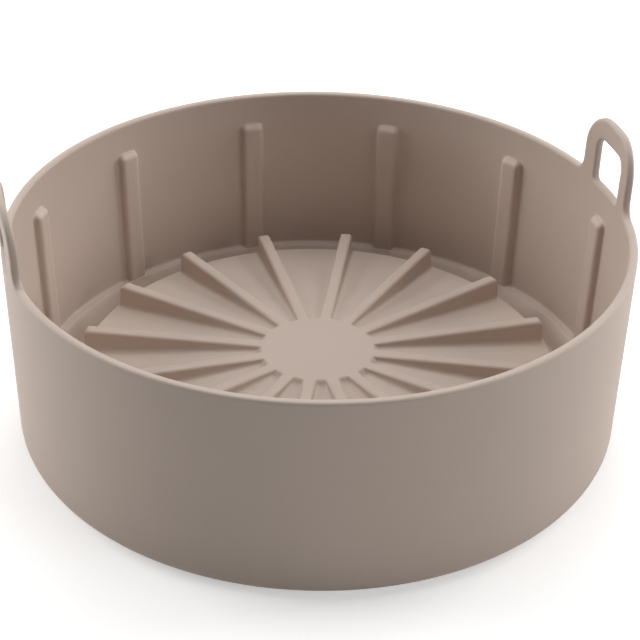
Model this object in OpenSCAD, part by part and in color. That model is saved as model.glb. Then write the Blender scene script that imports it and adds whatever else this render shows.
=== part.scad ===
// Air fryer liner: a round silicone tray moulded in one piece, with a straight ribbed wall,
// a stepped ledge and a gutter round a raised floor, a fan of ribs that stay level with
// a flat centre disc, and two loop handles that carry the wall up above the rim.
// Origin at the centre of the resting plane, +Z up, +X through one of the handles.

/* [Body] */
// Outer diameter at the rim
rim_d = 200; // [150:1:260]
// Outer diameter of the wall at the resting plane, before its corner is rounded
foot_d = 197.2; // [147:0.1:262]
// Height of the rim above the resting plane
body_h = 70; // [45:1:120]
// Wall thickness at the rim
rim_wall = 2.7; // [2:0.1:4]
// Wall thickness at the ledge
ledge_wall = 3.3; // [2:0.1:5]
// Rounding of both edges of the rim
rim_round = 0.9; // [0.3:0.1:0.95]
// Radius of the corner between wall and underside
corner_r = 6; // [2:0.5:10]

/* [Ledge and gutter] */
// Height of the ledge at the foot of the wall
ledge_h = 9.2; // [7:0.1:13]
// Width of the ledge
ledge_w = 2.8; // [1.5:0.1:6]
// Rounding of the ledge's edge, and of the crease between ledge and wall
ledge_round = 0.8; // [0.3:0.1:0.9]
// How far the ledge's face leans in on its way down to the gutter
face_lean = 4.2; // [0:0.1:5]
// Width between the ledge's edge and the floor's edge
gutter_w = 12.8; // [8:0.1:20]
// Thickness of the base under the gutter
base_wall = 2.8; // [2:0.1:4]
// Radius of the creases along the gutter
gutter_r = 1.5; // [0.5:0.1:1.8]

/* [Raised floor] */
// Height of the centre disc above the resting plane
disc_h = 22.7; // [19:0.1:30]
// Diameter of the centre disc
disc_d = 38; // [30:1:60]
// Step from the disc down to the floor
disc_step = 1.6; // [1:0.1:3]
// How far the disc stands proud of the tops of the ribs round it
disc_proud = 0.15; // [0.1:0.05:0.4]
// Height of the floor's outer edge above the resting plane
floor_edge_h = 15; // [12:0.1:18]
// Thickness of the floor
floor_wall = 2.3; // [1.6:0.1:3.5]
// How far the floor's side leans out on its way down to the gutter
side_lean = 1.6; // [0.5:0.1:3]
// Rounding of the floor's edge
floor_round = 0.8; // [0.3:0.1:1.2]

/* [Floor ribs] */
// Number of ribs on the floor
floor_ribs = 16; // [8:1:20]
// Width of a floor rib
floor_rib_w = 4.2; // [3:0.1:6]
// Rounding along the top of a floor rib
floor_rib_round = 1; // [0.5:0.1:1.5]
// Radius where a floor rib grows out of the floor
floor_rib_fillet = 1.2; // [0.6:0.1:1.6]
// Set-back of the ribs' ends from the floor's edge
rib_end_gap = 0.3; // [0.2:0.1:3]
// How far the end of a floor rib leans in from its root to its top
rib_end_lean = 0.8; // [0.2:0.1:3]

/* [Wall ribs] */
// Number of ribs on the wall
wall_ribs = 12; // [6:1:24]
// Width of a wall rib
wall_rib_w = 7.6; // [4:0.1:12]
// How far a wall rib stands proud of the wall
wall_rib_depth = 2.4; // [1:0.1:4]
// Distance from the rim down to the top of a wall rib
wall_rib_drop = 10.6; // [4:0.1:20]
// Rounding of a wall rib's long edges
wall_rib_round = 1.5; // [0.3:0.1:1.8]
// Radius of the two corners at the top of a wall rib
wall_rib_corner = 1.9; // [0.5:0.1:1.9]
// Radius over which the top of a wall rib runs back into the wall
wall_rib_top_r = 2.2; // [0.5:0.1:3]

/* [Handles] */
// Width of a loop handle
handle_w = 34.4; // [30:0.1:60]
// Height of a loop handle above the rim
handle_h = 22.7; // [20:0.1:40]
// Radius of a handle's upper corners
handle_corner = 12.5; // [5:0.5:14]
// Radius where a handle grows out of the rim
handle_fillet = 4; // [1:0.5:8]
// Width of the finger hole
hole_w = 19.6; // [12:0.1:24]
// Height of the finger hole's top above the rim
hole_h = 15.2; // [8:0.1:17]
// Depth of the finger hole's lower edge below the rim
hole_sill = 0.6; // [0.2:0.1:3]
// Radius of the finger hole's upper corners
hole_top_r = 4; // [1:0.1:5]
// Radius of the finger hole's lower corners
hole_bottom_r = 1.8; // [0.5:0.1:2]

/* [Hidden] */
silicone = "#BBA896";

// Steps of a full turn, of a small rounding, of a floor rib's rounding and of a handle's corner
turn_steps = 80;
round_steps = 16;
rib_steps = 12;
corner_steps = 32;

// Overlap with which one shape is sunk into the next
sink = 1.2;
// How far a shape reaches past the one that trims it
spare = 0.3;
// Share of its radius that a handle's fillet is sunk, so that its thin edge ends inside the rim
fillet_sink = 0.08;
// Largest rounding of a floor rib's top, as a share of its width
rib_round_share = 0.36;

rim_r = rim_d / 2;
foot_r = foot_d / 2;
disc_r = disc_d / 2;

// Radius of the outer wall at height z, straight on above the rim
function outer_r(z) = foot_r + (rim_r - foot_r) * z / body_h;

// Radius of the inner wall at height z, through its thickness at the ledge and at the rim
ledge_back_r = outer_r(ledge_h) - ledge_wall;
wall_lean = (rim_r - rim_wall - ledge_back_r) / (body_h - ledge_h);
function inner_r(z) = ledge_back_r + wall_lean * (z - ledge_h);

// The ledge's edge, the foot of its face, the floor's edge, and the foot of the floor's side
ledge_face_r = ledge_back_r - ledge_w;
face_foot_r = ledge_face_r - face_lean;
floor_r = ledge_face_r - gutter_w;
side_foot_r = floor_r + side_lean;
// Thickness of the floor's side, measured level
side_wall = floor_wall;

// Height and slope of the floor where it meets the disc
floor_top_h = disc_h - disc_step;
rib_top_h = disc_h - disc_proud;
floor_slope = (floor_top_h - floor_edge_h) / (floor_r - disc_r);
floor_angle = atan(floor_slope);
function floor_z(r) = floor_top_h - floor_slope * (r - disc_r);

// Corner rounding for the sections: unit vector, sense of turn, tangent length and centre
function unit(v) = v / norm(v);
function cross_turn(a, b, c) = (b[0] - a[0]) * (c[1] - b[1]) - (b[1] - a[1]) * (c[0] - b[0]);
function half_angle(a, b, c) = acos(unit(a - b) * unit(c - b)) / 2;
function tangent_length(a, b, c, r) = r / tan(half_angle(a, b, c));
function round_centre(a, b, c, r) = b + unit(unit(a - b) + unit(c - b)) * r / sin(half_angle(a, b, c));

// The sliver between a corner and the arc of radius r that is tangent to both its sides
module corner_sliver(a, b, c, r, steps) {
    t = tangent_length(a, b, c, r);
    m = round_centre(a, b, c, r);
    difference() {
        polygon([b, b + unit(a - b) * t, m, b + unit(c - b) * t]);
        translate(m) circle(r = r, $fn = steps);
    }
}

// An outline given anticlockwise, with a radius for each of its corners
module rounded_outline(points, radii, steps) {
    n = len(points);
    difference() {
        union() {
            polygon(points);
            for (i = [0 : n - 1])
                if (radii[i] > 0 && cross_turn(points[(i + n - 1) % n], points[i], points[(i + 1) % n]) < 0)
                    corner_sliver(points[(i + n - 1) % n], points[i], points[(i + 1) % n], radii[i], steps);
        }
        for (i = [0 : n - 1])
            if (radii[i] > 0 && cross_turn(points[(i + n - 1) % n], points[i], points[(i + 1) % n]) > 0)
                corner_sliver(points[(i + n - 1) % n], points[i], points[(i + 1) % n], radii[i], steps);
    }
}

// Half section of wall, ledge, gutter, raised floor and disc, with its hollow underside
module shell_section() {
    under_r = floor_r - side_wall;
    under_edge_h = floor_edge_h - floor_wall;
    under_top_h = floor_top_h - floor_wall;
    rounded_outline(
        [
            [0, under_top_h],
            [disc_r, under_top_h],
            [under_r, under_edge_h],
            [side_foot_r - side_wall, 0],
            [foot_r, 0],
            [rim_r, body_h],
            [rim_r - rim_wall, body_h],
            [ledge_back_r, ledge_h],
            [ledge_face_r, ledge_h],
            [face_foot_r, base_wall],
            [side_foot_r, base_wall],
            [floor_r, floor_edge_h],
            [disc_r, floor_top_h],
            [disc_r, disc_h],
            [0, disc_h]
        ],
        [
            0, 0, gutter_r, gutter_r, corner_r, rim_round, rim_round, ledge_round, ledge_round,
            gutter_r, gutter_r, floor_round, 0, 0, 0
        ],
        round_steps
    );
}

module shell() {
    rotate_extrude($fn = turn_steps) shell_section();
}

// Section across a floor rib, rounded along its two top edges
module floor_rib_section() {
    half = floor_rib_w / 2;
    low = floor_edge_h - 2 * sink;
    edge = min(floor_rib_round, rib_round_share * floor_rib_w);
    rounded_outline(
        [[-half, low], [half, low], [half, rib_top_h], [-half, rib_top_h]],
        [0, 0, edge, edge],
        rib_steps
    );
}

// Point of the fillet at a floor rib's foot, t degrees round from the floor to the rib's side
function fillet_point(t) = [
    floor_rib_w / 2 + floor_rib_fillet * (1 - sin(t)),
    floor_rib_fillet * (1 - cos(t))
];

// Section of both fillets above the floor's surface, in two chords a side that run on into the solid
module rib_fillet_section() {
    foot = fillet_point(0);
    middle = fillet_point(45);
    top = fillet_point(90);
    low = foot + unit(foot - middle) * spare;
    high = top + unit(top - middle) * 2 * spare;
    deep = sink + spare;
    polygon([
        [-low[0], -deep], [low[0], -deep], low, middle, high,
        [-high[0], high[1]], [-middle[0], middle[1]], [-low[0], low[1]]
    ]);
}

// Side view of a floor rib: from inside the disc, rooted in the floor, to its leaning rounded end
module floor_rib_side() {
    start = disc_r - sink;
    foot = floor_r - rib_end_gap;
    rounded_outline(
        [
            [start, floor_z(start) - sink], [foot, floor_z(foot) - sink],
            [foot - rib_end_lean, rib_top_h], [start, rib_top_h]
        ],
        [0, 0, floor_rib_round, 0],
        rib_steps
    );
}

// One floor rib on +X, with fillets that follow the slope of the floor
module floor_rib() {
    slant = norm([floor_r - disc_r, floor_top_h - floor_edge_h]);
    reach = floor_rib_w / 2 + floor_rib_fillet + sink;
    intersection() {
        union() {
            rotate([90, 0, 90]) linear_extrude(height = floor_r) floor_rib_section();
            translate([disc_r, 0, floor_top_h])
                rotate([0, floor_angle, 0])
                    translate([-2 * sink, 0, 0])
                        rotate([90, 0, 90]) linear_extrude(height = slant + 2 * sink) rib_fillet_section();
        }
        translate([0, reach, 0]) rotate([90, 0, 0]) linear_extrude(height = 2 * reach) floor_rib_side();
    }
}

module floor_rib_fan() {
    for (k = [0 : floor_ribs - 1])
        rotate([0, 0, k * 360 / floor_ribs]) floor_rib();
}

// One wall rib on +X: rounded edges, a rounded top, and the lean of the inner wall
module wall_rib() {
    foot_h = ledge_h - sink;
    top_h = body_h - wall_rib_drop;
    length = (top_h - foot_h) / cos(atan(wall_lean));
    half = wall_rib_w / 2;
    back = sink + wall_rib_top_r;
    translate([inner_r(foot_h), 0, foot_h])
        rotate([0, atan(wall_lean), 0])
            intersection() {
                linear_extrude(height = length)
                    rounded_outline(
                        [[-wall_rib_depth, -half], [sink, -half], [sink, half], [-wall_rib_depth, half]],
                        [wall_rib_round, 0, 0, wall_rib_round],
                        round_steps
                    );
                translate([0, half, 0])
                    rotate([90, 0, 0]) linear_extrude(height = wall_rib_w)
                        rounded_outline(
                            [[-wall_rib_depth, 0], [back, 0], [back, length], [-wall_rib_depth, length]],
                            [0, 0, 0, wall_rib_top_r],
                            round_steps
                        );
                translate([-wall_rib_depth, 0, 0])
                    rotate([90, 0, 90]) linear_extrude(height = wall_rib_depth + sink)
                        rounded_outline(
                            [[-half, 0], [half, 0], [half, length], [-half, length]],
                            [0, 0, wall_rib_corner, wall_rib_corner],
                            round_steps
                        );
            }
}

module wall_rib_ring() {
    for (k = [0 : wall_ribs - 1])
        rotate([0, 0, k * 360 / wall_ribs]) wall_rib();
}

// Front view of both handles, with the fillets that run out on the rim
module handle_outline() {
    half = handle_w / 2;
    spread = half + handle_fillet;
    low = body_h - rim_round - sink;
    fillet_h = body_h + handle_fillet * (1 - fillet_sink);
    rounded_outline(
        [[-half, low], [half, low], [half, body_h + handle_h], [-half, body_h + handle_h]],
        [0, 0, handle_corner, handle_corner],
        corner_steps
    );
    difference() {
        translate([-spread, low]) square([2 * spread, fillet_h - low]);
        for (side = [-1, 1])
            translate([side * spread, fillet_h]) circle(r = handle_fillet, $fn = corner_steps);
    }
}

// The wall's own section carried straight on above the rim
module handle_strip_section() {
    low = body_h - rim_round - sink;
    high = body_h + handle_h + sink;
    polygon([[inner_r(low), low], [outer_r(low), low], [outer_r(high), high], [inner_r(high), high]]);
}

module handles() {
    intersection() {
        rotate_extrude($fn = turn_steps) handle_strip_section();
        translate([-rim_d, 0, 0]) rotate([90, 0, 90]) linear_extrude(height = 2 * rim_d) handle_outline();
    }
}

// One cutter passes through both finger holes
module finger_holes() {
    half = hole_w / 2;
    low = body_h - hole_sill;
    high = body_h + hole_h;
    translate([-rim_d, 0, 0])
        rotate([90, 0, 90]) linear_extrude(height = 2 * rim_d)
            rounded_outline(
                [[-half, low], [half, low], [half, high], [-half, high]],
                [hole_bottom_r, hole_bottom_r, hole_top_r, hole_top_r],
                corner_steps
            );
}

// The whole liner, moulded in one
module liner() {
    color(silicone)
        difference() {
            union() {
                shell();
                floor_rib_fan();
                wall_rib_ring();
                handles();
            }
            finger_holes();
        }
}

liner();
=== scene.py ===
from math import acos, asin, atan2, cos, pi, radians, sin, sqrt, tan

import bmesh
import bpy
from mathutils import Matrix, Vector


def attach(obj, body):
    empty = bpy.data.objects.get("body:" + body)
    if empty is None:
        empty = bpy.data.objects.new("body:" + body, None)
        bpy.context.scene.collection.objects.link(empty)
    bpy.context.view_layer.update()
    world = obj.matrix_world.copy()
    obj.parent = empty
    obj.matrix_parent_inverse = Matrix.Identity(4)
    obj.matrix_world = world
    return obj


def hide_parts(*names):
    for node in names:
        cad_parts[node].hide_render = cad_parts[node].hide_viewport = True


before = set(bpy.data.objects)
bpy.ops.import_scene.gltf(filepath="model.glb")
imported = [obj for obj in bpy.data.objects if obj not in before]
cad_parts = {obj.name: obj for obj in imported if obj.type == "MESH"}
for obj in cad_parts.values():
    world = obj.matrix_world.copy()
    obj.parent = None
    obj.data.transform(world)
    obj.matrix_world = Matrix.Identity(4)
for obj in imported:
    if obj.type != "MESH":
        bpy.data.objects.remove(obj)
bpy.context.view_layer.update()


# Liner: one piece of soft food-grade silicone, pressed and cured in a two-part mould.
# Wall, rim, ledge, gutter, raised floor and disc are one turned section. The ribs and the loop
# handles grow out of it with small fillets, and the mould rounds every edge.
mm = 0.001
rim_r, foot_r, wall_h = 100.0, 98.6, 70.0
rim_wall, rim_round, foot_round = 2.7, 0.9, 6.0
ledge_h, ledge_back, ledge_face, ledge_round = 9.2, 95.484, 92.684, 0.8
gutter_h, face_foot, side_foot, gutter_round = 2.8, 88.484, 81.484, 1.5
floor_edge, edge_h, edge_round, floor_wall = 79.884, 15.0, 0.8, 2.3
disc_h, disc_r, disc_step = 22.7, 19.0, 1.6
floor_h = disc_h - disc_step
wall_ribs, floor_ribs = 12, 16

# Wall ribs: half width, height of the top, radius of the top's corners, and how high the ribs'
# part of the wall reaches. Floor ribs: height at which a rib's fillets have their whole size.
wall_rib_half, wall_rib_top, wall_rib_corner, ribbed_h = 3.8, 59.4, 1.9, 60.4
full_fillet_h = 3.0

# The mesh is spun in this many columns, and each rib has its own share of them.
columns = 480
wall_pitch, floor_pitch = columns // wall_ribs, columns // floor_ribs


def outer_r(z):
    return foot_r + (rim_r - foot_r) * z / wall_h


def inner_r(z):
    return ledge_back + (rim_r - rim_wall - ledge_back) * (z - ledge_h) / (wall_h - ledge_h)


def floor_z(r):
    return edge_h + (floor_h - edge_h) * (floor_edge - r) / (floor_edge - disc_r)


def rounded(a, b, c, radius, steps):
    """Points of the arc that rounds corner b of the line a, b, c."""
    a, b, c = Vector(a), Vector(b), Vector(c)
    to_a, to_c = (a - b).normalized(), (c - b).normalized()
    half = acos(to_a.dot(to_c)) / 2
    centre = b + (to_a + to_c).normalized() * radius / sin(half)
    spoke = b + to_a * radius / tan(half) - centre
    turn = (pi - 2 * half) * (1 if (b - a).cross(c - b) > 0 else -1)
    arc = []
    for step in range(steps + 1):
        angle = atan2(spoke.y, spoke.x) + turn * step / steps
        arc.append((centre.x + radius * cos(angle), centre.y + radius * sin(angle)))
    return arc


def zone(name, points):
    return [(name, *point) for point in points]


# Corners of the section, as (radius, height).
under_disc = (disc_r, floor_h - floor_wall)
under_corner = (floor_edge - floor_wall, edge_h - floor_wall)
under_foot = (side_foot - floor_wall, 0.0)
outer_foot, outer_rim, inner_rim = (foot_r, 0.0), (rim_r, wall_h), (rim_r - rim_wall, wall_h)
ledge_crease, ledge_edge = (ledge_back, ledge_h), (ledge_face, ledge_h)
gutter_out, gutter_in = (face_foot, gutter_h), (side_foot, gutter_h)
floor_out, floor_in = (floor_edge, edge_h), (disc_r, floor_h)


def under_z(r):
    slope = (under_disc[1] - under_corner[1]) / (under_corner[0] - disc_r)
    return under_disc[1] - slope * (r - disc_r)


# Rows of the section, from the middle of the underside round to the middle of the disc. Each is
# (zone, radius, height); the rim's rows are (zone, depth below the edge, depth into the wall).
roll = [(rim_round * (1 - sin(radians(a))), rim_round * (1 - cos(radians(a))))
        for a in (0, 22.5, 45, 67.5, 90)]
rows = (
    zone("under", [(r, under_disc[1]) for r in (0.0, 8.0, 15.0, 18.6)])
    + zone("under", [(r, under_z(r)) for r in (19.4, 28.0, 40.0, 52.0, 64.0, 73.0, 75.5)])
    + zone("under", rounded(under_disc, under_corner, under_foot, gutter_round, 4))
    + zone("under", [(77.85, 10.4), (78.35, 6.5), (78.85, 2.4)])
    + zone("under", rounded(under_corner, under_foot, outer_foot, gutter_round, 4))
    + zone("under", [(r, 0.0) for r in (81.6, 86.6, 91.2)])
    + zone("under", rounded(under_foot, outer_foot, outer_rim, foot_round, 8))
    + zone("outer", [(outer_r(z), z) for z in (7.2, 14.0, 24.0, 34.0, 44.0, 53.0, ribbed_h)])
    + zone("upper outer", [(outer_r(z), z) for z in (62.4, 64.4, 66.2, 67.6, 68.4)])
    + zone("rim", roll)
    + zone("rim", [(0.0, rim_wall / 2)])
    + zone("rim", [(down, rim_wall - deep) for down, deep in reversed(roll)])
    + zone("upper inner", [(inner_r(z), z) for z in (68.4, 67.6, 66.2, 64.4, 62.4)])
    + zone("wall", [(inner_r(z), z) for z in (ribbed_h, 59.75, 59.42, 59.3, 59.0, 58.5, 57.9)])
    + zone("wall", [(inner_r(z), z) for z in (57.2, 56.4, 50.0, 42.0, 34.0, 26.0, 18.0)])
    + zone("wall", [(inner_r(z), z) for z in (12.5, 10.8)])
    + zone("ledge", rounded(inner_rim, ledge_crease, ledge_edge, ledge_round, 3))
    + zone("ledge", rounded(ledge_crease, ledge_edge, gutter_out, ledge_round, 4))
    + zone("gutter", [(91.503, 7.4), (90.06, 5.2)])
    + zone("gutter", rounded(ledge_edge, gutter_out, gutter_in, gutter_round, 4))
    + zone("gutter", [(r, gutter_h) for r in (86.4, 85.2, 84.0)])
    + zone("gutter", rounded(gutter_out, gutter_in, floor_out, gutter_round, 4))
    + zone("side", [(80.95, 6.9), (80.35, 11.5), (80.13, 13.1)])
    + zone("edge", rounded(gutter_in, floor_out, floor_in, edge_round, 4))
    + zone("floor", [(r, floor_z(r)) for r in (79.05, 78.95, 78.86, 78.8, 78.67, 78.36, 77.98)])
    + zone("floor", [(r, floor_z(r)) for r in (77.6, 76.4, 72.0, 66.0, 59.0, 52.0, 45.0, 38.0)])
    + zone("floor", [(r, floor_z(r)) for r in (32.0, 27.0, 23.8, 21.6, 20.4, 19.8, 19.45)])
    + zone("floor", [(r, floor_z(r)) for r in (19.2, 19.05, 18.95, 18.8, 18.5, 18.0)])
    + zone("disc", [(r, disc_h) for r in (16.0, 12.0, 8.0, 4.0, 0.0)])
)

# Ribs: how far each column lies from the middle of its rib, and what the rib does there.
# A wall rib has its depth at each column, and the share of it that each row of its top keeps.
wall_columns = [0.0, 1.2, 2.3, 2.87, 3.36, 3.69, wall_rib_half, 3.84, 3.97, 4.2, 4.55]
wall_depths = [2.4, 2.4, 2.4, 2.288, 1.961, 1.464, 0.9, 0.62, 0.25, 0.065, 0.0]
top_rows = {59.75: 0.0, 59.42: 0.06, 59.3: 0.27, 59.0: 0.56, 58.5: 0.81, 57.9: 0.95}

# A floor rib drops from its top at its first columns, and its fillet rises from the floor at the
# rest. Its end is a nose, as (radius, height), that narrows towards the foot.
floor_columns = [0.0, 1.1, 1.52, 1.86, 2.06, 2.1, 2.18, 2.36, 2.78, 3.38]
floor_drops = [0.0, 0.0, 0.092, 0.35, 0.72, 1.0]
floor_rises = [1.2, 0.568, 0.161, 0.0]
nose = [(79.5, 14.95), (79.05, 19.55), (78.95, 20.6), (78.86, 21.55), (78.8, 21.92),
        (78.67, 22.2), (78.36, 22.52), (77.98, 22.66), (77.6, disc_h)]
nose_width = {79.05: 0.93, 78.95: 0.96, 78.86: 0.985}
nose_foot_width = 0.9

# The step from the floor up to the disc, and the part of the gutter where the columns leave the
# wall ribs for the floor ribs: outer and inner radius of each.
disc_step_out, disc_step_in = 20.4, 18.5
swap_out, swap_in = 91.6, 82.6


def in_pitch(j, pitch):
    """Column j as (number of its rib, columns from the middle of that rib)."""
    k = (j + pitch // 2) // pitch
    return k, j - k * pitch


def column_angle(j, r, pitch, lateral, narrow=1.0):
    """Angle of column j where the columns near a rib run parallel to it."""
    k, m = in_pitch(j, pitch)
    n, half = abs(m), pitch // 2
    inner = len(lateral) - 1
    last = asin(lateral[inner] / r)
    if n <= inner:
        angle = asin(lateral[n] * (narrow if n < inner else 1.0) / r)
    else:
        angle = last + (pi * pitch / columns - last) * (n - inner) / (half - inner)
    return (k * pitch) * 2 * pi / columns + (angle if m >= 0 else -angle)


def even_angle(j):
    return j * 2 * pi / columns


def mixed(a, b, t):
    return a + (b - a) * t


def share(value):
    return min(1.0, max(0.0, value))


def nose_top(r):
    """Height of a rib's top near its end, along the rounded end of the rib."""
    for (a, high), (b, low) in zip(nose[1:], nose):
        if a <= r <= b:
            return mixed(high, low, (r - a) / (b - a))
    return disc_h if r < nose[-1][0] else edge_h


def floor_lifted(j, r, z):
    """Height of the floor at column j, lifted where a rib or the disc stands on it."""
    n = abs(in_pitch(j, floor_pitch)[1])
    height = disc_h - floor_z(r)
    scale = min(1.0, height / full_fillet_h)
    if n < len(floor_drops):
        across = (height - floor_drops[n] * scale) / height
    elif n < len(floor_columns):
        across = floor_rises[n - len(floor_drops)] * scale / height
    else:
        across = 0.0
    along = max(0.0, nose_top(r) - z) / height
    near = share((disc_step_out - r) / (disc_step_out - disc_step_in))
    step = near * near * (3 - 2 * near)
    lift = across * along
    return z + (lift + step - lift * step) * height


# Handles: the wall carried on above the rim as a loop with a finger hole, one on each side.
# Columns foot_in to foot_out on each side of a handle's middle grow into its strap, and the
# hole's sill lies between them, a little below the rim.
sill, foot_in, foot_out = 0.6, 5, 13
handle_half, handle_top, handle_round, handle_fillet = 17.2, 22.7, 12.5, 4.0
hole_half, hole_top, hole_round, hole_low = 9.8, 15.2, 4.0, 1.8
handle_every = wall_ribs // 2


def top_edge(n):
    """Where column n reaches the edge of the rim or of the hole's sill: sideways and height."""
    low_in, low_out = hole_half - hole_low, handle_half + handle_fillet
    if n <= foot_in:
        return low_in * n / foot_in, wall_h - sill
    if n <= foot_out:
        t = (n - foot_in) / (foot_out - foot_in)
        return mixed(low_in, low_out, t), mixed(wall_h - sill, wall_h, t)
    t = (n - foot_out) / (wall_pitch // 2 - foot_out)
    return mixed(low_out, rim_r * sin(pi / wall_ribs), t), wall_h


def turned_place(r, angle, z):
    return Vector((r * cos(angle), r * sin(angle), z)) * mm


def in_wall(u, v, deep, middle):
    """A place in the thickness of the wall or handle: sideways, height and depth from outside."""
    r = mixed(outer_r(v), inner_r(v), deep / rim_wall)
    return turned_place(r, middle + asin(u / rim_r), v)


def upper_place(j, z, base, wall):
    """A place on the wall above the ribs, where the columns open out to the handle's feet."""
    t = (z - ribbed_h) / (wall_h - rim_round - ribbed_h)
    k, m = in_pitch(j, wall_pitch)
    if k % handle_every == 0:
        u, v = top_edge(abs(m))
        middle = k * wall_pitch * 2 * pi / columns
        angle = mixed(abs(base - middle), asin(u / rim_r), t)
        angle = middle + (angle if m >= 0 else -angle)
        z = mixed(ribbed_h, v - rim_round, t)
    else:
        angle = mixed(base, even_angle(j), t)
    return turned_place(wall(z), angle, z)


def rim_place(j, down, deep):
    k, m = in_pitch(j, wall_pitch)
    if k % handle_every == 0:
        u, v = top_edge(abs(m))
        return in_wall(u if m >= 0 else -u, v - down, deep, k * wall_pitch * 2 * pi / columns)
    z = wall_h - down
    return turned_place(mixed(outer_r(z), inner_r(z), deep / rim_wall), even_angle(j), z)


def wall_place(j, name, r, z):
    """A place on the inside of the wall or on the ledge, with the wall ribs standing on it."""
    n = abs(in_pitch(j, wall_pitch)[1])
    depth = wall_depths[n] if n < len(wall_depths) else 0.0
    narrow = 1.0
    corner_foot = wall_rib_top - wall_rib_corner
    if z > corner_foot:
        rise = min(z, wall_rib_top) - corner_foot
        narrow = (wall_rib_half - wall_rib_corner
                  + sqrt(max(0.0, wall_rib_corner ** 2 - rise ** 2))) / wall_rib_half
        depth *= top_rows.get(z, 0.0)
    if name == "ledge":
        depth *= min(1.0, (r - ledge_face) / (ledge_back - ledge_face))
    return turned_place(r - depth, column_angle(j, r, wall_pitch, wall_columns, narrow), z)


def liner_place(i, j):
    """Where the vertex of row i and column j goes."""
    name, a, b = rows[i]
    if name in ("under", "outer", "disc"):
        return turned_place(a, even_angle(j), b)
    if name == "upper outer":
        return upper_place(j, b, even_angle(j), outer_r)
    if name == "rim":
        return rim_place(j, a, b)
    if name == "upper inner":
        return upper_place(j, b, column_angle(j, a, wall_pitch, wall_columns), inner_r)
    if name in ("wall", "ledge"):
        return wall_place(j, name, a, b)
    if name in ("edge", "floor"):
        narrow = nose_width.get(a, nose_foot_width if name == "edge" else 1.0)
        angle = column_angle(j, a, floor_pitch, floor_columns, narrow)
        return turned_place(a, angle, floor_lifted(j, a, b))
    of_floor = column_angle(j, a, floor_pitch, floor_columns)
    if name == "side":
        return turned_place(a, of_floor, b)
    of_wall = column_angle(j, a, wall_pitch, wall_columns)
    swapped = share((swap_out - a) / (swap_out - swap_in))
    return turned_place(a, mixed(of_wall, of_floor, swapped), b)


zones = [row[0] for row in rows]
first_rim = zones.index("rim")
last_rim = len(zones) - 1 - zones[::-1].index("rim")

# The section is drawn as a line, spun, and each vertex is then moved to its place on the ribs.
shape = bmesh.new()
row_of = shape.verts.layers.int.new("row")
spot_of = shape.verts.layers.int.new("spot")
section = []
for i, (name, a, b) in enumerate(rows):
    if name == "rim":
        dot = shape.verts.new((mixed(outer_r(wall_h - a), inner_r(wall_h - a), b / rim_wall) * mm,
                               0.0, (wall_h - a) * mm))
    else:
        dot = shape.verts.new((a * mm, 0.0, b * mm))
    dot[row_of] = i
    section.append(dot)
lines = [shape.edges.new(pair) for pair in zip(section, section[1:])]
bmesh.ops.spin(shape, geom=section + lines, cent=(0, 0, 0), axis=(0, 0, 1), angle=2 * pi,
               steps=columns, use_merge=True, use_duplicate=False)

column_of = {}
for vert in shape.verts:
    column_of[vert] = round(atan2(vert.co.y, vert.co.x) * columns / (2 * pi)) % columns
for vert, j in column_of.items():
    vert.co = liner_place(vert[row_of], j)

# The rim is opened over the handles' feet, and the edge of each opening is numbered as a loop.
# A spot of it is (share of the way from hole to outline, depth below an edge, depth in).
loop_spots = {}
for i in range(first_rim, last_rim + 1):
    _, down, deep = rows[i]
    for n in range(foot_in, foot_out + 1):
        if i in (first_rim, last_rim) or n in (foot_in, foot_out):
            loop_spots[1000 * (i + 1) + n] = ((n - foot_in) / (foot_out - foot_in), down, deep)
for vert, j in column_of.items():
    k, m = in_pitch(j, wall_pitch)
    over_foot = k % handle_every == 0 and foot_in <= abs(m) <= foot_out
    if over_foot and first_rim <= vert[row_of] <= last_rim:
        vert[spot_of] = 1000 * (vert[row_of] + 1) + abs(m)
covers = [face for face in shape.faces if all(vert[spot_of] for vert in face.verts)]
bmesh.ops.delete(shape, geom=covers, context="FACES")

# Stations along half a strap: the end of the foot's fillet, of the straight leg, of the bend, and
# the crown. The other half mirrors them.
fillet_end, leg_end, bend_end, crown = 5, 8, 16, 18


def handle_station(s):
    """Edges of the strap at station s: a point of the outline and one of the hole, each with the
    direction that leaves the silicone there."""
    leg_low, leg_high = wall_h + handle_fillet, wall_h + handle_top - handle_round
    hole_leg_low, hole_leg_high = wall_h - sill + hole_low, wall_h + hole_top - hole_round
    if s <= fillet_end:
        a = radians(90 / fillet_end * s)
        outline = (handle_half + handle_fillet * (1 - sin(a)), leg_low - handle_fillet * cos(a),
                   sin(a), cos(a))
        hole = (hole_half - hole_low * (1 - sin(a)), hole_leg_low - hole_low * cos(a),
                -sin(a), cos(a))
    elif s <= leg_end:
        t = (s - fillet_end) / (leg_end - fillet_end)
        outline = (handle_half, mixed(leg_low, leg_high, t), 1.0, 0.0)
        hole = (hole_half, mixed(hole_leg_low, hole_leg_high, t), -1.0, 0.0)
    elif s <= bend_end:
        b = radians(90 * (s - leg_end) / (bend_end - leg_end))
        outline = (handle_half - handle_round * (1 - cos(b)), leg_high + handle_round * sin(b),
                   cos(b), sin(b))
        hole = (hole_half - hole_round * (1 - cos(b)), hole_leg_high + hole_round * sin(b),
                -cos(b), -sin(b))
    else:
        t = (s - bend_end) / (crown - bend_end)
        outline = (mixed(handle_half - handle_round, 0.0, t), wall_h + handle_top, 0.0, 1.0)
        hole = (mixed(hole_half - hole_round, 0.0, t), wall_h + hole_top, 0.0, -1.0)
    return outline, hole


def strap_place(spot, station, middle):
    across, down, deep = loop_spots[spot]
    side = 1.0 if station <= crown else -1.0
    outline, hole = handle_station(min(station, 2 * crown - station))
    outer_edge = Vector(outline[:2]) - Vector(outline[2:]) * down
    inner_edge = Vector(hole[:2]) - Vector(hole[2:]) * down
    u, v = inner_edge.lerp(outer_edge, across)
    return in_wall(side * u, v, deep, middle)


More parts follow.
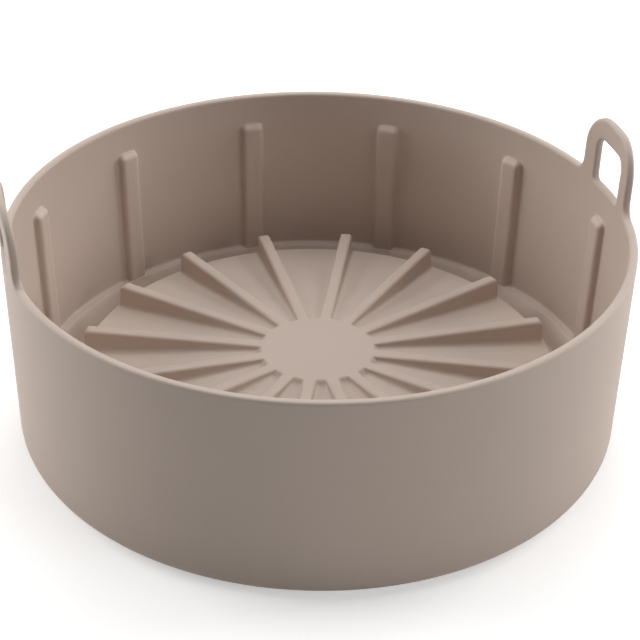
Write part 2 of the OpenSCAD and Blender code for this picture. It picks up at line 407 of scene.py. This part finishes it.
# Each strap grows from one opening, station by station, over the crown to the other.
for middle in (0.0, pi):
    foot = [edge for edge in shape.edges if edge.is_boundary
            and all(vert[spot_of] and vert.co.x * cos(middle) > 0 and vert.co.y * cos(middle) > 0
                    for vert in edge.verts)]
    for station in range(1, 2 * crown + 1):
        grown = bmesh.ops.extrude_edge_only(shape, edges=foot)["geom"]
        new = set(vert for vert in grown if isinstance(vert, bmesh.types.BMVert))
        for vert in new:
            vert.co = strap_place(vert[spot_of], station, middle)
        foot = [edge for edge in grown if isinstance(edge, bmesh.types.BMEdge)
                and edge.verts[0] in new and edge.verts[1] in new and edge.is_boundary]

bmesh.ops.remove_doubles(shape, verts=shape.verts, dist=0.0005 * mm)
bmesh.ops.recalc_face_normals(shape, faces=shape.faces)
for face in shape.faces:
    face.smooth = True
liner_mesh = bpy.data.meshes.new("liner_moulded")
shape.to_mesh(liner_mesh)
shape.free()
liner = bpy.data.objects.new("liner_moulded", liner_mesh)
bpy.context.scene.collection.objects.link(liner)


def linear(hex_colour):
    """An sRGB hex colour as linear RGBA."""
    parts = [int(hex_colour[i:i + 2], 16) / 255 for i in (1, 3, 5)]
    return [c / 12.92 if c <= 0.04045 else ((c + 0.055) / 1.055) ** 2.4 for c in parts] + [1.0]


def node(tree, kind, links=(), **settings):
    """Adds a node, sets its properties and sockets, and links its inputs."""
    made = tree.nodes.new(kind)
    for name, value in settings.items():
        if name == "inputs":
            for socket, number in value.items():
                made.inputs[socket].default_value = number
        else:
            setattr(made, name, value)
    for socket, source in dict(links).items():
        tree.links.new(source, made.inputs[socket])
    return made


def new_material(name):
    made = bpy.data.materials.new(name)
    made.use_nodes = True
    made.node_tree.nodes.clear()
    return made


# Silicone: compression moulded and tinted taupe all through, so no edge shows another colour.
# The matt mould face leaves a grain of about 0.7 mm, drawn as coarse as it needs to show, which
# keeps highlights broad and soft. Tint and gloss drift faintly over patches of about 35 mm.
taupe, pale_taupe = "#C3B2A6", "#CAB9AD"
silicone_ior, smoothest, roughest = 1.41, 0.56, 0.64
patches_per_m, grains_per_m, grain_depth = 28.0, 1400.0, 0.1 * mm

silicone = new_material("moulded silicone")
tree = silicone.node_tree
place = node(tree, "ShaderNodeTexCoord").outputs["Object"]
cloud = node(tree, "ShaderNodeTexNoise", {"Vector": place},
             inputs={"Scale": patches_per_m, "Detail": 3.0})
tint = node(tree, "ShaderNodeMix", {"Factor": cloud.outputs["Fac"]}, data_type="RGBA",
            inputs={6: linear(taupe), 7: linear(pale_taupe)})
grain = node(tree, "ShaderNodeTexNoise", {"Vector": place},
             inputs={"Scale": grains_per_m, "Detail": 2.0})
bump = node(tree, "ShaderNodeBump", {"Height": grain.outputs["Fac"]},
            inputs={"Strength": 0.12, "Distance": grain_depth})
rough = node(tree, "ShaderNodeMapRange", {"Value": cloud.outputs["Fac"]},
             inputs={"To Min": smoothest, "To Max": roughest})
skin = node(tree, "ShaderNodeBsdfPrincipled",
            {"Base Color": tint.outputs[2], "Roughness": rough.outputs[0],
             "Normal": bump.outputs[0]},
            inputs={"IOR": silicone_ior})
node(tree, "ShaderNodeOutputMaterial", {"Surface": skin.outputs[0]})
liner_mesh.materials.append(silicone)

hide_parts("liner")
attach(liner, "root")


# Camera: above and in front of the liner, with one handle at the right and a little behind.
# Worked out from the rim, foot, ribs and disc as they lie in the picture.
turn = Matrix.Rotation(radians(-15.3), 4, "Z")
eye_back, eye_up = 475.265 * mm, 332.69 * mm
eye_yaw, eye_down, eye_roll = -0.0013, 0.5616, 0.0183
eye = bpy.data.objects.new("camera", bpy.data.cameras.new("camera"))
bpy.context.scene.collection.objects.link(eye)
eye.data.sensor_width = 36.0
eye.data.lens = 96.19
eye.data.clip_start = 0.05
eye.data.clip_end = 20.0
eye.matrix_world = (
    turn
    @ Matrix.Translation((0.0, -eye_back, eye_up))
    @ Matrix.Rotation(eye_yaw, 4, "Z")
    @ Matrix.Rotation(pi / 2 - eye_down, 4, "X")
    @ Matrix.Rotation(eye_roll, 4, "Z")
)
bpy.context.scene.camera = eye


# Floor: a wide sheet of matt white paper. Its own glow, which only the camera, reflections and
# transmission see, keeps it white all the way to the horizon, and is weaker within 0.3 m of the
# middle, where the liner's shadow falls.
paper_white, clear_white = "#ECEAE8", "#FFFFFF"
floor_half = 6.0
glow_near, glow_far = {"From Min": 0.3, "To Min": 0.45}, {"From Max": 0.7, "To Max": 1.0}

floor_mesh = bpy.data.meshes.new("floor")
sheet = bmesh.new()
bmesh.ops.create_grid(sheet, x_segments=1, y_segments=1, size=floor_half)
sheet.to_mesh(floor_mesh)
sheet.free()
floor = bpy.data.objects.new("floor", floor_mesh)
bpy.context.scene.collection.objects.link(floor)


def seen_rays(tree):
    """1 for the rays of the camera, of reflections and of transmission, and 0 for the rest."""
    rays = node(tree, "ShaderNodeLightPath").outputs
    both = node(tree, "ShaderNodeMath", {0: rays["Is Camera Ray"], 1: rays["Is Glossy Ray"]},
                operation="ADD").outputs[0]
    return node(tree, "ShaderNodeMath", {0: both, 1: rays["Is Transmission Ray"]},
                operation="ADD", use_clamp=True).outputs[0]


paper = new_material("white paper")
tree = paper.node_tree
place = node(tree, "ShaderNodeTexCoord").outputs["Object"]
away = node(tree, "ShaderNodeVectorMath", {0: place}, operation="LENGTH").outputs["Value"]
glow = node(tree, "ShaderNodeMapRange", {"Value": away}, inputs={**glow_near, **glow_far})
glow = node(tree, "ShaderNodeMath", {0: glow.outputs[0], 1: seen_rays(tree)},
            operation="MULTIPLY")
matt = node(tree, "ShaderNodeBsdfDiffuse", inputs={"Color": linear(paper_white)})
lift = node(tree, "ShaderNodeEmission", {"Strength": glow.outputs[0]},
            inputs={"Color": linear(clear_white)})
both = node(tree, "ShaderNodeAddShader", {0: matt.outputs[0], 1: lift.outputs[0]})
node(tree, "ShaderNodeOutputMaterial", {"Surface": both.outputs[0]})
floor_mesh.materials.append(paper)


# Room: white where it is seen, and otherwise only a faint cool light that fills the shadows.
room_light = (0.034, 0.041, 0.047, 1)

room = bpy.data.worlds.new("studio")
bpy.context.scene.world = room
room.use_nodes = True
tree = room.node_tree
tree.nodes.clear()
level = node(tree, "ShaderNodeMix", {"Factor": seen_rays(tree)}, data_type="RGBA",
             inputs={6: room_light, 7: linear(clear_white)})
air = node(tree, "ShaderNodeBackground", {"Color": level.outputs[2]})
node(tree, "ShaderNodeOutputWorld", {"Surface": air.outputs[0]})


# Lamps: a long soft box from overhead to behind, one on each side a little behind, and a small
# one at the front on the right. Places and sizes are in metres, in the camera's turned frame.
liner_middle = (0.0, 0.0, 0.05)


def soft_box(name, place, width, height, watts):
    """A rectangular area lamp that faces the liner."""
    lamp = bpy.data.lights.new(name, "AREA")
    lamp.shape = "RECTANGLE"
    lamp.size = width
    lamp.size_y = height
    lamp.energy = watts
    box = bpy.data.objects.new(name, lamp)
    bpy.context.scene.collection.objects.link(box)
    aim = (Vector(liner_middle) - Vector(place)).to_track_quat("-Z", "Y").to_matrix().to_4x4()
    box.matrix_world = turn @ Matrix.Translation(place) @ aim


soft_box("overhead", (0.0, 0.25, 1.2), 0.35, 0.9, 6.4)
soft_box("left", (-0.97, 0.28, 0.5), 0.7, 0.7, 8.0)
soft_box("right", (0.93, 0.42, 0.6), 0.7, 0.7, 7.7)
soft_box("front right", (0.9, -0.5, 0.45), 0.5, 0.4, 2.0)

bpy.context.scene.view_settings.view_transform = "Standard"
